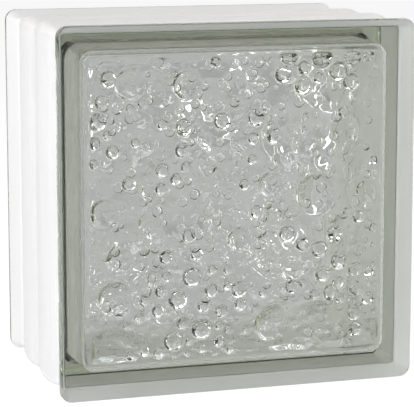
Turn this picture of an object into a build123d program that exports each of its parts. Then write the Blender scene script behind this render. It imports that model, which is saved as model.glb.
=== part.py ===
from build123d import *
import math
import os
import random

# Hollow glass building block, pressed as two shells that are fused at the seam.
# X is the width, Y the depth with the front face towards -Y, and Z is up.
# The origin is the centre of the underside of the bounding box.

# Overall sizes, millimetres
block_width = 146.0
block_height = 146.0
block_depth = 98.0
corner_radius = 4.5

# Flange: the clear band of glass that runs round each face
flange_land = 3.0
flange_root = 10.5
root_depth = 2.6
arris_radius = 0.8

# Mortar channel, as depth below the flange and distance from the seam
groove_depth = 3.5
groove_place = 34.0
ridge_depth = 0.3
ridge_place = 16.0
seam_depth = 2.1

# White coating that keys the mortar to the channel
coating_thickness = 0.4

# Cavity inside the two shells
face_thickness = 8.0
cavity_margin = 9.2
cavity_corner_radius = 6.0
cavity_floor_radius = 2.5
wall_draft = 1.0

# Bubble relief inside each face, as (how many, least radius, greatest radius, rise over radius)
bubble_groups = [
    (12, 9.0, 17.0, 0.12),
    (12, 4.5, 7.5, 0.22),
]
bubble_overlap = 0.25
bubble_overrun = 3.0
bubble_root = 0.7
bubble_seed = 26
most_tries = 500

# Places that follow from the sizes
half_depth = block_depth / 2
mid_height = block_height / 2
right_side = block_width / 2
corner_x = right_side - corner_radius
corner_z = block_height - corner_radius
cut_margin = 1.0

os.makedirs("parts", exist_ok=True)


def channel_line(cover):
    """Curve of the channel from the seam out to the groove, cover millimetres into the wall."""
    return ThreePointArc(
        (right_side - seam_depth - cover, 0),
        (right_side - ridge_depth - cover, -ridge_place),
        (right_side - groove_depth - cover, -groove_place),
    )


def carry_round(section):
    """Solid swept by a section of the right-hand edge as it goes round the whole outline."""
    corner_axis = Axis((corner_x, 0, corner_z), (0, -1, 0))
    with BuildPart() as ring:
        revolve(section, corner_axis, revolution_arc=90)
        extrude(ring.faces().sort_by(Axis.X)[0], amount=corner_x)
        extrude(section, amount=mid_height - corner_z)
        mirror(about=Plane.YZ)
        mirror(about=Plane.XY.offset(mid_height))
    return ring.part


def bubble_layout():
    """Scattered bubbles as (x, z, radius, rise), where those of one group overlap only a little."""
    dice = random.Random(bubble_seed)
    bubbles = []
    for count, least, greatest, slope in bubble_groups:
        group = []
        for _ in range(most_tries):
            radius = dice.uniform(least, greatest)
            reach_x = right_side - cavity_margin - radius + bubble_overrun
            reach_z = mid_height - cavity_margin - radius + bubble_overrun
            x = dice.uniform(-reach_x, reach_x)
            z = dice.uniform(-reach_z, reach_z)
            spread = 1 - bubble_overlap
            clear = all(math.dist((x, z), b[:2]) > spread * (radius + b[2]) for b in group)
            if clear and len(group) < count:
                group.append((x, z, radius, slope * radius))
        bubbles += group
    return bubbles


def bubble_dome(x, z, radius, rise):
    """Dome of glass that rises from inside the face and stands proud of its inner side."""
    ball_radius = (radius**2 + rise**2) / (2 * rise)
    top = face_thickness - half_depth + rise
    height = rise + bubble_root
    with BuildPart(mode=Mode.PRIVATE) as dome:
        with Locations((x, top - ball_radius, mid_height + z)):
            Sphere(ball_radius)
        with Locations((x, top - height / 2, mid_height + z)):
            Box(block_width, height, block_height, mode=Mode.INTERSECT)
    return dome.part


# Section of all that the mould leaves out of the edge of the front shell
with BuildSketch(Plane.XY.offset(corner_z)) as channel_section:
    with BuildLine():
        bare = channel_line(coating_thickness)
        outer = Polyline(
            bare @ 1,
            (right_side - groove_depth, -groove_place),
            (right_side - root_depth, flange_root - half_depth),
            (right_side, flange_land - half_depth),
            (right_side + cut_margin, flange_land - half_depth),
            (right_side + cut_margin, 0),
            bare @ 0,
        )
    make_face()

# Section of the coating on one wall
with BuildSketch(Plane.XY.offset(corner_z)) as coating_section:
    with BuildLine():
        inner = channel_line(coating_thickness)
        skin = channel_line(0)
        Line(inner @ 0, skin @ 0)
        Line(inner @ 1, skin @ 1)
    make_face()

# Cavity of one half: a drafted plug, rounded where the walls meet the face
with BuildPart() as cavity:
    with BuildSketch(Plane.XZ):
        with Locations((0, mid_height)):
            RectangleRounded(
                block_width - 2 * cavity_margin,
                block_height - 2 * cavity_margin,
                cavity_corner_radius,
            )
    extrude(amount=half_depth - face_thickness, taper=wall_draft)
    fillet(cavity.faces().sort_by(Axis.Y)[0].edges(), cavity_floor_radius)

# Front shell: a pressed dish of clear glass with its face, flange and four walls
with BuildPart() as front_shell:
    with BuildSketch(Plane.XZ):
        with Locations((0, mid_height)):
            RectangleRounded(block_width, block_height, corner_radius)
    extrude(amount=half_depth)
    fillet(front_shell.faces().sort_by(Axis.Y)[0].edges(), arris_radius)
    add(carry_round(channel_section.sketch), mode=Mode.SUBTRACT)
    add(cavity.part, mode=Mode.SUBTRACT)
    for bubble in bubble_layout():
        add(bubble_dome(*bubble))

# Back shell: the same pressing turned round and fused to the front one
with BuildPart() as back_shell:
    mirror(front_shell.part, about=Plane.XZ)

# Edge coating: one skin over both walls, from flange to flange
with BuildPart() as edge_coating:
    add(carry_round(coating_section.sketch))
    mirror(about=Plane.XZ)

for name, piece in [
    ("front_shell", front_shell),
    ("back_shell", back_shell),
    ("edge_coating", edge_coating),
]:
    piece.part.label = name
    export_step(piece.part, f"parts/{name}.step")
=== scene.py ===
import math
import random

import bpy
import numpy as np
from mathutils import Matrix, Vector


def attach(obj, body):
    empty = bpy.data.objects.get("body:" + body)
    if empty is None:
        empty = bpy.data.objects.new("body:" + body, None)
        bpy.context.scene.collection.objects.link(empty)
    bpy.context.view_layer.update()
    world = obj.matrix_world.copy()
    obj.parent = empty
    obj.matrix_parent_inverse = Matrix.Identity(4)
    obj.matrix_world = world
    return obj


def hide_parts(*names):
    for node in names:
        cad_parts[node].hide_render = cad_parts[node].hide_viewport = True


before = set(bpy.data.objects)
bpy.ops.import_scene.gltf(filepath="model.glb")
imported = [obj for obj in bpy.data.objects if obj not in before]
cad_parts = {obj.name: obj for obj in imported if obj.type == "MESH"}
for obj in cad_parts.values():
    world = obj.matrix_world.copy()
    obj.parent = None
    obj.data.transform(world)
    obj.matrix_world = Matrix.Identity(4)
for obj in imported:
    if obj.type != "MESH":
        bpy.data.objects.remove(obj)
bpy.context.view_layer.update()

# Front shell.
# The nearer half of the hollow block: one pressing of soda-lime glass, with a smooth outer face, a clear
# flange round it and four walls, and with the bubble pattern pressed into the inner side of the face.

# Sizes of the pressing in millimetres, the same as the solid's
mm = 0.001
half_width = 73.0
half_height = 73.0
half_depth = 49.0
corner_radius = 4.5
arris = 0.8
face_thickness = 8.0
wall_inset = 9.2
wall_radius = 6.0
wall_draft = math.radians(1.0)
floor_radius = 2.5
flange_land = 3.0
coating = 0.4

# Places on the section as (depth below the flange, distance from the seam), but for the root the distance
# is from the face
flange_root = (2.6, 10.5)
groove = (3.5, 34.0)
ridge = (0.3, 16.0)
seam = (2.1, 0.0)

# The foot of the wall, where the plain inner side of the face begins
inner_side = half_depth - face_thickness
drawn_in = inner_side * math.tan(wall_draft)
foot_inset = wall_inset + drawn_in
foot_radius = wall_radius - drawn_in

# Each rim passes the seam, and the wall reaches into the coat, by so much that no air lies between them
seam_lap = 0.01
coat_lap = 0.03

# Squares across the face, those of them that turn a corner at each end, and rings along each curve
cells = 260
corner_cells = 12
round_rings = 6
channel_rings = 10

# The solid's scattered bubbles, as (how many, least radius, greatest radius, rise over radius)
bubble_groups = [(12, 9.0, 17.0, 0.12), (12, 4.5, 7.5, 0.22)]
bubble_seed = 26
bubble_spread = 0.75
bubble_overrun = 3.0
most_tries = 500

# The bubbles that show in the photograph, as (x, z, radius) from the middle of the face
wide_rise = 0.27
wide_bubbles = [
    (-43.3, 49.5, 6.1), (-20.1, 48.8, 5.7), (45.2, 28.7, 5.7), (-24.2, -1.3, 5.7), (-9.1, 11, 4.9),
    (14.1, 8, 4.9), (27.5, 18.2, 3.7), (33.2, 3, 8.2), (50.2, 4.2, 3.7), (-49.5, -34.5, 7),
    (-50.5, -51.2, 4.9), (-40.8, -53.1, 3.7), (14.5, -48.8, 6.6), (35.4, -49, 8.2), (1.3, -13.5, 4.9),
    (-35.6, -5.5, 4.9), (-53.7, -0.6, 5.7), (-0.9, 48.2, 4.9), (7.3, 51.8, 4.1), (-15.3, 1.4, 4.1),
    (-35.7, -23.4, 4.9), (13.9, -18.2, 4.9), (-47.8, -18.7, 5.3), (-0.9, 26.5, 4.1),
]
small_rise = 0.75
small_bubbles = [
    (-54.4, 42.9, 2.7), (-51.8, 30.1, 1.8), (-57, 27.2, 2.3), (-49.9, 23.4, 2.7), (-21.3, 32, 3.3),
    (-40.7, 26.6, 1.8), (-55.7, 35.3, 3.3), (-22.2, 23.1, 2.9), (-38.2, 42, 1.8), (-8.7, 57.8, 2),
    (-30.2, 33.5, 2), (-5.4, 33.8, 3.3), (-43, 40.2, 1.6), (-51.6, 51.7, 3.3), (28.1, 54, 2.5),
    (27.7, 46.9, 3.5), (34.8, 49.4, 2.3), (42.8, 52, 3.7), (21.7, 59.3, 3.7), (35.6, 57.7, 4.1),
    (48.7, 58.5, 3.7), (55.1, 58.4, 2.5), (8.2, 34.9, 3.3), (7.4, 26.6, 2.3), (15.7, 27.4, 3.1),
    (11.9, 39.1, 1.6), (44.3, 35.6, 2), (48, 47.8, 3.3), (28.7, 29.3, 1.2), (29.1, 34.5, 1.2),
    (19.7, 51.5, 3.3), (-43.6, 10.7, 2.7), (-30.3, 15.5, 2.7), (-30.7, 8.1, 2.3), (-24.6, 11.7, 2.3),
    (-20.5, 16.3, 2), (-19.4, -11.1, 2.7), (-28.8, -19, 2.7), (-16.1, -18.5, 2.5), (-57.8, 19.1, 2),
    (-9.9, -24.9, 1.8), (6.6, 18.3, 2), (3.3, 8.5, 2.3), (8.3, -2.6, 2.5), (21.8, -12.6, 3.3),
    (28.2, -17, 2.7), (19.7, -5.2, 1.2), (19.2, 0.5, 1.2), (35.1, -19.4, 3.3), (46.5, -4.5, 1.6),
    (51.7, -6.8, 2.5), (41.4, -13.7, 3.3), (58.3, 15.6, 1.8), (58.2, -11.7, 1.8), (58.3, -18.7, 1.4),
    (59.3, -27, 1.8), (43.7, -24.8, 3.3), (60.3, -4.4, 1), (-22.3, -45.9, 2.3), (-14.5, -48.9, 3.9),
    (-26, -52.9, 3.9), (-43.2, -57.8, 2), (-37.9, -56.1, 2), (-31.8, -57.4, 2.5), (-7, -47.8, 1.6),
    (-7.4, -53.9, 2.3), (-14.1, -56.6, 1.6), (-19.9, -58.3, 1.4), (-25.6, -59.1, 1.2), (-8.6, -59.5, 1.4),
    (-2, -58.3, 2), (-3.2, -49.7, 1.6), (-10.3, -33.4, 2.7), (-3.7, -31.8, 1.8), (-13.6, -39.6, 2.5),
    (-6.2, -42.1, 2.5), (-23.9, -36.5, 3.7), (-18.2, -27.6, 3.7), (-30.9, -32.9, 2.3), (-37.4, -36, 2),
    (-32.1, -40.4, 2.5), (-28.4, -27, 2), (-39.9, -42.7, 2), (-44.8, -45.6, 1.6), (-3.3, -25.3, 2),
    (-19.4, -53.4, 1.6), (4.3, -50.2, 1.6), (23.7, -33.9, 2.7), (43.4, -33.5, 2.5), (44.3, -40.1, 2),
    (51.2, -36.4, 2.9), (49.5, -40.9, 1.6), (56.5, -40.9, 2.5), (50.7, -28.5, 2.9), (56.8, -29.7, 2),
    (59, -34.8, 1.6), (59.2, -46.5, 1.6), (50.5, -47.2, 2.5), (51, -53.4, 2.9), (40.4, -37.4, 3.3),
    (36.5, -29.7, 2.9), (32.7, -37.7, 2), (27.7, -59.3, 2), (47.6, -60.7, 2), (1.3, -33.7, 3.3),
    (11.4, -35.5, 2), (1.8, -39.8, 2.5), (27.9, -32.5, 1.6),
]

# Faint bubbles and ripples that fill the ground between them, and the border in which all relief fades
ground_seed = 11
faint_bubbles = 110
faint_reach = 57
faint_radii = (1.4, 4.2)
faint_rise = 0.16
ripples = 60
ripple_lengths = (3.5, 12.0)
ripple_rise = 0.0016
relief_border = 3.5


def outline(half, radius, u, v):
    """Points of a rounded square, as arrays of x and z, for steps from -1 to 1 each way."""
    corner_start = 1 - 2 * corner_cells / cells
    flat = half - radius

    def straight(t):
        return np.clip(np.abs(t) / corner_start, 0, 1) * flat

    def turned(t):
        return np.clip((np.abs(t) - corner_start) / (1 - corner_start), 0, 1)

    p, q = turned(u), turned(v)
    x = straight(u) + radius * p * np.sqrt(1 - q * q / 2)
    z = straight(v) + radius * q * np.sqrt(1 - p * p / 2)
    return np.sign(u) * x, np.sign(v) * z


def channel(distance):
    """Depth of the mortar channel at a distance from the seam, on one arc by way of the ridge to the groove."""
    (x1, y1), (x2, y2), (x3, y3) = seam, ridge, groove
    chords = np.array([[x2 - x1, y2 - y1], [x3 - x1, y3 - y1]]) * 2
    squares = np.array([x2 * x2 + y2 * y2 - x1 * x1 - y1 * y1, x3 * x3 + y3 * y3 - x1 * x1 - y1 * y1])
    centre_x, centre_y = np.linalg.solve(chords, squares)
    arc_radius = math.hypot(x1 - centre_x, y1 - centre_y)
    return centre_x - math.sqrt(arc_radius * arc_radius - (distance - centre_y) ** 2)


def section():
    """The pressing from its foot over the wall, rim and flange to the front, as (inset, corner radius, y)."""
    rings = []
    for k in range(1, round_rings + 1):
        turn = math.pi / 2 * k / round_rings
        aside = floor_radius * (1 - math.sin(turn))
        rings.append((foot_inset + aside, foot_radius - aside, inner_side - floor_radius * (1 - math.cos(turn))))
    rings.append((wall_inset, wall_radius, -seam_lap))
    for k in range(channel_rings + 1):
        y = groove[1] * k / channel_rings
        inset = channel(y) + coating - coat_lap
        rings.append((inset, corner_radius - inset, y if k else -seam_lap))
    rings.append((groove[0], corner_radius - groove[0], groove[1]))
    rings.append((flange_root[0], corner_radius - flange_root[0], half_depth - flange_root[1]))
    rings.append((0.0, corner_radius, half_depth - flange_land))
    for k in range(round_rings + 1):
        turn = math.pi / 2 * k / round_rings
        inset = arris * (1 - math.cos(turn))
        rings.append((inset, corner_radius - inset, half_depth - arris * (1 - math.sin(turn))))
    return rings


def scattered_bubbles():
    """The solid's own bubbles, by the same draw, as (x, z, radius, rise)."""
    dice = random.Random(bubble_seed)
    bubbles = []
    for count, least, greatest, slope in bubble_groups:
        group = []
        for _ in range(most_tries):
            radius = dice.uniform(least, greatest)
            reach_x = half_width - wall_inset - radius + bubble_overrun
            reach_z = half_height - wall_inset - radius + bubble_overrun
            x = dice.uniform(-reach_x, reach_x)
            z = dice.uniform(-reach_z, reach_z)
            clear = all(math.dist((x, z), b[:2]) > bubble_spread * (radius + b[2]) for b in group)
            if clear and len(group) < count:
                group.append((x, z, radius, slope * radius))
        bubbles += group
    return bubbles


def inside(x, z, centre_x, centre_z, radius):
    """Share that is 1 in the middle of a bubble and falls to 0 at its rim and past it."""
    return np.clip(1 - ((x - centre_x) ** 2 + (z - centre_z) ** 2) / radius ** 2, 0, None)


def relief(x, z):
    """Height of the pattern above the plain inner side of the face."""
    height = np.zeros_like(x)
    for centre_x, centre_z, radius, rise in scattered_bubbles():
        height = np.maximum(height, rise * inside(x, z, centre_x, centre_z, radius))
    for centre_x, centre_z, radius in wide_bubbles:
        height = np.maximum(height, wide_rise * radius * inside(x, z, centre_x, centre_z, radius) ** 0.5)

    # The seams between large bubbles melt a little, one way and then the other
    for axis in (0, 1):
        melted = 0.5 * height + 0.25 * np.roll(height, 1, axis) + 0.25 * np.roll(height, -1, axis)
        height[1:-1, 1:-1] = melted[1:-1, 1:-1]

    for centre_x, centre_z, radius in small_bubbles:
        height += small_rise * radius * inside(x, z, centre_x, centre_z, radius) ** 0.5
    dice = random.Random(ground_seed)
    for _ in range(faint_bubbles):
        centre_x = dice.uniform(-faint_reach, faint_reach)
        centre_z = dice.uniform(-faint_reach, faint_reach)
        radius = dice.uniform(*faint_radii)
        height += faint_rise * radius * inside(x, z, centre_x, centre_z, radius) ** 0.6
    for _ in range(ripples):
        turn = dice.uniform(0, math.tau)
        length = dice.uniform(*ripple_lengths)
        phase = dice.uniform(0, math.tau)
        along = x * math.cos(turn) + z * math.sin(turn)
        height += ripple_rise * length * (1 + np.sin(math.tau / length * along + phase))
    return height


def shell(name, side):
    """One pressing as a closed mesh. side is -1 for the front one and 1 for the back one."""
    steps = np.linspace(-1, 1, cells + 1)
    u, v = np.meshgrid(steps, steps, indexing="ij")
    half_floor = half_width - foot_inset - floor_radius
    grid_x, grid_z = outline(half_floor, foot_radius - floor_radius, u, v)
    fade = np.clip((half_floor - np.maximum(np.abs(grid_x), np.abs(grid_z))) / relief_border, 0, 1)
    fade = fade * fade * (3 - 2 * fade)
    grid_y = inner_side - relief(grid_x, grid_z) * fade
    points = [np.stack([grid_x, grid_y, grid_z], axis=-1).reshape(-1, 3)]
    index = np.arange((cells + 1) ** 2).reshape(cells + 1, cells + 1)
    squares = np.stack([index[:-1, :-1], index[:-1, 1:], index[1:, 1:], index[1:, :-1]], axis=-1)
    faces = [squares.reshape(-1, 4)]

    # From the border of the grid, each ring of the section joins the one before it
    border = np.concatenate([index[:-1, 0], index[-1, :-1], index[:0:-1, -1], index[0, :0:-1]])
    border_u = u.reshape(-1)[border]
    border_v = v.reshape(-1)[border]
    last = border
    start = len(points[0])
    for inset, radius, y in section():
        x, z = outline(half_width - inset, radius, border_u, border_v)
        points.append(np.stack([x, np.full_like(x, y), z], axis=-1))
        ring = np.arange(start, start + len(border))
        faces.append(np.stack([last, np.roll(last, -1), np.roll(ring, -1), ring], axis=-1))
        start += len(border)
        last = ring
    points = np.concatenate(points)
    points[:, 1] *= side
    points[:, 2] += half_height
    quads = np.concatenate(faces)
    if side > 0:
        quads = quads[:, ::-1]
        last = last[::-1]

    # The last ring is closed by the flat outer face, whose edge is sharp so that it is shaded flat
    mesh = bpy.data.meshes.new(name)
    mesh.from_pydata((points * mm).tolist(), [], quads.tolist() + [last.tolist()])
    mesh.shade_smooth()
    for corner in mesh.polygons[len(quads)].loop_indices:
        mesh.edges[mesh.loops[corner].edge_index].use_edge_sharp = True
    pressing = bpy.data.objects.new(name, mesh)
    bpy.context.scene.collection.objects.link(pressing)
    return pressing


class Link:
    """A socket of a shader's nodes, so that shader maths reads as plain arithmetic."""

    def __init__(self, tree, socket=None):
        self.tree = tree
        self.socket = socket

    def add(self, kind, settings, sockets, output=0):
        """A new node with its settings and the values or links of its sockets, as the link of one output."""
        node = self.tree.nodes.new(kind)
        for name, value in settings.items():
            setattr(node, name, value)
        for name, value in sockets.items():
            if isinstance(value, Link):
                self.tree.links.new(value.socket, node.inputs[name])
            else:
                node.inputs[name].default_value = value
        return Link(self.tree, node.outputs[output] if node.outputs else None)

    def beside(self, output):
        """Another output of the same node."""
        return Link(self.tree, self.socket.node.outputs[output])

    def math(self, operation, first, second=0.0):
        return self.add("ShaderNodeMath", {"operation": operation}, {0: first, 1: second})

    def larger(self, other):
        return self.math("MAXIMUM", self, other)

    def __add__(self, other):
        return self.math("ADD", self, other)

    __radd__ = __add__

    def __mul__(self, other):
        return self.math("MULTIPLY", self, other)

    __rmul__ = __mul__

    def __sub__(self, other):
        return self.math("SUBTRACT", self, other)

    def __rsub__(self, other):
        return self.math("SUBTRACT", other, self)

    def __truediv__(self, other):
        return self.math("DIVIDE", self, other)

    def __pow__(self, other):
        return self.math("POWER", self, other)

    def __abs__(self):
        return self.math("ABSOLUTE", self)

    def __gt__(self, other):
        return self.math("GREATER_THAN", self, other)

    def __lt__(self, other):
        return self.math("LESS_THAN", self, other)


def new_material(name):
    """An empty node material, and the link that its nodes are added by."""
    material = bpy.data.materials.new(name)
    material.use_nodes = True
    material.node_tree.nodes.clear()
    return material, Link(material.node_tree)


clear_glass, glass = new_material("clear_glass")
spot = glass.add("ShaderNodeTexCoord", {}, {}, "Object")
across = glass.add("ShaderNodeSeparateXYZ", {}, {"Vector": spot}, "X")
depth = across.beside("Y")
level = across.beside("Z")
from_seam = abs(depth)

# Pits a few millimetres wide, one to a cell of a pattern that is shifted between the two shells
pits_per_metre = 190.0
back_shift = 0.5 * (depth > 0.0)
on_face = glass.add("ShaderNodeCombineXYZ", {}, {"X": across + back_shift, "Y": level})
pit_pattern = {"Vector": on_face, "Scale": pits_per_metre, "Randomness": 1.0}
to_pit = glass.add("ShaderNodeTexVoronoi", {"voronoi_dimensions": "2D"}, pit_pattern, "Distance")
size_chance = glass.add("ShaderNodeSeparateColor", {}, {"Color": to_pit.beside("Color")}, "Red")
depth_chance = size_chance.beside("Green")
pit_radius = 0.15 + 0.3 * size_chance
share = to_pit / pit_radius
pit = (1 - share * share).larger(0.0) ** 0.6

# The pits lie on the inner side alone and fade before the wall
from_middle = abs(across).larger(abs(level - half_height * mm))
fade = glass.add("ShaderNodeMapRange", {}, {
    "Value": from_middle,
    "From Min": 0.056,
    "From Max": 0.0605,
    "To Min": 1.0,
    "To Max": 0.0,
})
pressed = fade * (from_seam < (inner_side + 1.5) * mm)
pit_height = pit * pit_radius * (0.1 + 0.3 * depth_chance) * pressed
pitted = glass.add("ShaderNodeBump", {}, {"Height": pit_height, "Strength": 1.0, "Distance": 1 / pits_per_metre})
haze = glass.add("ShaderNodeTexNoise", {}, {"Vector": spot, "Scale": 120.0, "Detail": 2.0})
body = glass.add("ShaderNodeBsdfPrincipled", {}, {
    "Base Color": (1.0, 1.0, 1.0, 1.0),
    "Roughness": 0.01 + 0.02 * haze,
    "IOR": 1.5,
    "Transmission Weight": 1.0,
    "Normal": pitted,
})
tint = glass.add("ShaderNodeVolumeAbsorption", {}, {"Color": (0.45, 0.58, 0.25, 1.0), "Density": 9.0})

# The white coat reaches over the sloping backs of the flanges as a thin film, so it is part of this surface
film_inset = (half_width - 6.5) * mm
film_start = (groove[1] - 0.5) * mm
film_end = (half_depth - flange_land) * mm
film_white = (0.93, 0.93, 0.93, 1.0)
filmed = (from_middle > film_inset) * (from_seam > film_start) * (from_seam < film_end)
film_matt = glass.add("ShaderNodeBsdfDiffuse", {}, {"Color": film_white})
film_through = glass.add("ShaderNodeBsdfTranslucent", {}, {"Color": film_white})
film = glass.add("ShaderNodeMixShader", {}, {0: 0.25, 1: film_matt, 2: film_through})
surface = glass.add("ShaderNodeMixShader", {}, {0: filmed, 1: body, 2: film})
glass.add("ShaderNodeOutputMaterial", {}, {"Surface": surface, "Volume": tint})

front = shell("front_glass", -1)
front.data.materials.append(clear_glass)
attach(front, "root")
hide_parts("front_shell")

# Back shell.
# The farther half, pressed in the same mould and fused to the front one along the seam. Its pattern is the
# front one's mirror image and shows through it.
back = shell("back_glass", 1)
back.data.materials.append(clear_glass)
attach(back, "root")
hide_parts("back_shell")

# Edge coating.
# A thin rubbery white coat on the mortar channel, put on after the halves are fused, so that mortar keys to
# the glass. It is matt and slightly uneven, in strokes that run along the channel, and pinkish on top.
edge_coat, coat = new_material("edge_coat")
coat_spot = coat.add("ShaderNodeTexCoord", {}, {}, "Object")
along_edge = coat.add("ShaderNodeMapping", {}, {"Vector": coat_spot, "Scale": (0.06, 1.0, 0.06)})
strokes = coat.add("ShaderNodeTexNoise", {}, {"Vector": along_edge, "Scale": 320.0, "Detail": 3.0})
grain = coat.add("ShaderNodeTexNoise", {}, {"Vector": coat_spot, "Scale": 900.0, "Detail": 3.0})
white_shade = coat.add("ShaderNodeMix", {"data_type": "RGBA"}, {
    "Factor": strokes,
    6: (0.91, 0.905, 0.91, 1.0),
    7: (0.96, 0.955, 0.96, 1.0),
}, 2)
coat_level = coat.add("ShaderNodeSeparateXYZ", {}, {"Vector": coat_spot}, "Z")
on_top = coat.add("ShaderNodeMapRange", {"interpolation_type": "SMOOTHSTEP"}, {
    "Value": coat_level,
    "From Min": 0.138,
    "From Max": 0.143,
    "To Min": 0.0,
    "To Max": 0.75,
})
coat_shade = coat.add("ShaderNodeMix", {"data_type": "RGBA"}, {
    "Factor": on_top,
    6: white_shade,
    7: (0.9, 0.82, 0.8, 1.0),
}, 2)
uneven = coat.add("ShaderNodeBump", {}, {"Height": strokes + 0.2 * grain, "Strength": 0.8, "Distance": 0.0006})
paint = coat.add("ShaderNodeBsdfPrincipled", {}, {
    "Base Color": coat_shade,
    "Roughness": 0.6 + 0.15 * grain,
    "IOR": 1.45,
    "Subsurface Weight": 1.0,
    "Subsurface Radius": (1.0, 1.0, 1.0),
    "Subsurface Scale": 0.0013,
    "Normal": uneven,
})
coat.add("ShaderNodeOutputMaterial", {}, {"Surface": paint})
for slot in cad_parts["edge_coating"].material_slots:
    slot.material = edge_coat

# Floor and backdrop.
# A plain pale studio floor, so large that the white behind the block has no edge. It is matt, takes the
# block's shadow and gives some light of its own, more of it to the camera.
floor_reach = 6.0
floor_corners = [(x * floor_reach, y * floor_reach, 0) for x, y in ((-1, -1), (1, -1), (1, 1), (-1, 1))]
floor_mesh = bpy.data.meshes.new("floor")
floor_mesh.from_pydata(floor_corners, [], [(0, 1, 2, 3)])
floor_object = bpy.data.objects.new("floor", floor_mesh)
bpy.context.scene.collection.objects.link(floor_object)
floor_paint, ground = new_material("floor_paint")
to_camera = ground.add("ShaderNodeLightPath", {}, {}, "Is Camera Ray")
matt = ground.add("ShaderNodeBsdfDiffuse", {}, {"Color": (0.64, 0.63, 0.66, 1.0)})
to_matt = ground.add("ShaderNodeLightPath", {}, {}, "Is Diffuse Ray")
glow = 0.5 + 0.75 * to_camera + 0.7 * to_matt
white = ground.add("ShaderNodeEmission", {}, {"Color": (1.0, 1.0, 1.0, 1.0), "Strength": glow})
mixed = ground.add("ShaderNodeMixShader", {}, {0: 0.7, 1: matt, 2: white})
ground.add("ShaderNodeOutputMaterial", {}, {"Surface": mixed})
floor_mesh.materials.append(floor_paint)

# Studio light.
# One pale dome of light all round, white to the camera and dark behind it for what the glass mirrors and
# bends, and soft panels at the left, at the right and in front.
world = bpy.data.worlds.new("studio")
bpy.context.scene.world = world
world.use_nodes = True
world.node_tree.nodes.clear()
sky = Link(world.node_tree)
direct = sky.add("ShaderNodeLightPath", {}, {}, "Is Camera Ray")
mirrored = sky.add("ShaderNodeLightPath", {}, {}, "Is Glossy Ray")
bent = sky.add("ShaderNodeLightPath", {}, {}, "Is Transmission Ray")
in_glass = mirrored.larger(bent)
heading = sky.add("ShaderNodeTexCoord", {}, {}, "Generated")
upward = sky.add("ShaderNodeSeparateXYZ", {}, {"Vector": heading}, "Z")
onward = upward.beside("Y")
sideward = abs(upward.beside("X"))
high = sky.add("ShaderNodeMapRange", {"interpolation_type": "SMOOTHSTEP"}, {
    "Value": upward.larger(0.55 * sideward),
    "From Min": 0.05,
    "From Max": 0.5,
    "To Min": 0.4,
    "To Max": 1.0,
})
ahead = sky.add("ShaderNodeMapRange", {"interpolation_type": "SMOOTHSTEP"}, {
    "Value": onward,
    "From Min": -0.5,
    "From Max": 0.1,
    "To Min": 0.03,
    "To Max": 1.0,
})
brightness = direct + in_glass * high * ahead + (1 - direct - in_glass) * 0.25
sky_shade = sky.add("ShaderNodeMix", {"data_type": "RGBA"}, {
    "Factor": high * in_glass,
    6: (1.0, 1.0, 1.0, 1.0),
    7: (0.93, 0.985, 1.0, 1.0),
}, 2)
air = sky.add("ShaderNodeBackground", {}, {"Color": sky_shade, "Strength": brightness})
sky.add("ShaderNodeOutputWorld", {}, {"Surface": air})


def panel(name, place, target, size, radiance):
    """A soft panel that stands at a place and faces a target, and that the camera doesn't see."""
    light = bpy.data.lights.new(name, "AREA")
    light.shape = "RECTANGLE"
    light.size, light.size_y = size
    light.energy = radiance * math.pi * size[0] * size[1]
    lamp = bpy.data.objects.new(name, light)
    lamp.location = place
    lamp.rotation_euler = (Vector(target) - Vector(place)).to_track_quat("-Z", "Y").to_euler()
    lamp.visible_camera = False
    bpy.context.scene.collection.objects.link(lamp)


panel("left_panel", (-1.1, -0.3, 0.6), (0, 0, 0.07), (1.5, 1.1), 0.95)
panel("right_panel", (0.55, 0.15, 0.26), (0, 0.05, 0.1), (0.9, 0.6), 1.9)
panel("front_panel", (-0.8, -1.3, 1.1), (0, 0, 0.07), (1.6, 1.3), 4.2)

# Camera.
# At the place and angle of the photograph, as fitted to the block's corners and edges.
camera_target = Vector((-0.0077, -0.0288, 0.0722))
camera = bpy.data.objects.new("camera", bpy.data.cameras.new("camera"))
bpy.context.scene.collection.objects.link(camera)
camera.location = (-0.2390, -0.7727, 0.2031)
camera.rotation_euler = (camera_target - camera.location).to_track_quat("-Z", "Y").to_euler()
camera.data.lens = 171.5
camera.data.sensor_width = 36.0
bpy.context.scene.camera = camera
bpy.context.scene.view_settings.view_transform = "Standard"
